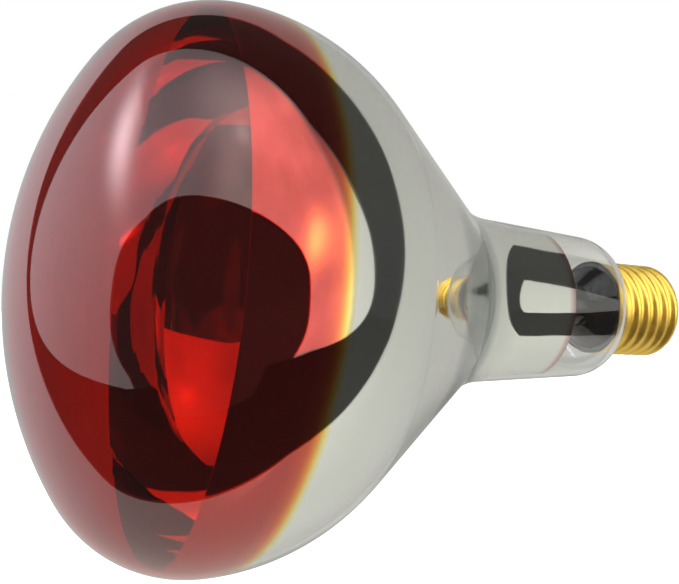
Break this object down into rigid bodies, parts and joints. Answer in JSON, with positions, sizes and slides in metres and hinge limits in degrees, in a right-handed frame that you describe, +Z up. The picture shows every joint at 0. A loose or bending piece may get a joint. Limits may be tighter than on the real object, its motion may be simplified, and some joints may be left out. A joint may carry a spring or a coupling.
{
  "type": "infrared heat lamp bulb",
  "caption": "Blown-glass reflector heat lamp with a ruby-stained domed face, mirrored bowl, straight neck and a brass Edison screw cap.",
  "frame": {"origin": "tip of the solder on the cap's centre contact, on the lamp's axis", "axes": "+Y along the lamp's axis, out of the cap and away from the domed face; +Z up with the lamp lying level; +X to its right seen from the face"},
  "size_m": [0.125, 0.1861, 0.125],
  "materials": {
    "clear_glass": "clear blown glass, very smooth",
    "ruby_film": "fired ruby stain, gloss",
    "mirror_film": "vapour-laid aluminium, bright",
    "cap_brass": "rolled sheet brass, bright with light handling marks",
    "contact_brass": "stamped brass, dull",
    "solder": "soft solder, dull and slightly lumpy",
    "black_glass": "black vitreous insulator, gloss",
    "cement": "cured basing cement, matt",
    "stem_glass": "clear lead glass, fire-polished",
    "tungsten": "drawn tungsten, dark grey",
    "molybdenum": "drawn molybdenum wire, grey",
    "nickel_wire": "nickel-plated wire, bright",
    "copper_wire": "copper-clad wire, dull"
  },
  "bodies": {
    "lamp": {"base_insulator": "black_glass", "basing_cement": "cement", "centre_contact": "contact_brass", "centre_solder": "solder", "exhaust_tube": "stem_glass", "filament_coil": "tungsten", "filament_hook_1": "molybdenum", "filament_hook_2": "molybdenum", "filament_hook_3": "molybdenum", "filament_hook_4": "molybdenum", "glass_envelope": "clear_glass", "inner_lead_left": "nickel_wire", "inner_lead_right": "nickel_wire", "mirror_coating": "mirror_film", "outer_lead_centre": "copper_wire", "outer_lead_side": "copper_wire", "ruby_stain": "ruby_film", "screw_shell": "cap_brass", "seal_wire_left": "copper_wire", "seal_wire_right": "copper_wire", "side_weld": "solder", "stem_flare": "stem_glass", "stem_press": "stem_glass", "support_button": "stem_glass", "support_rod": "stem_glass"}
  },
  "joints": []
}
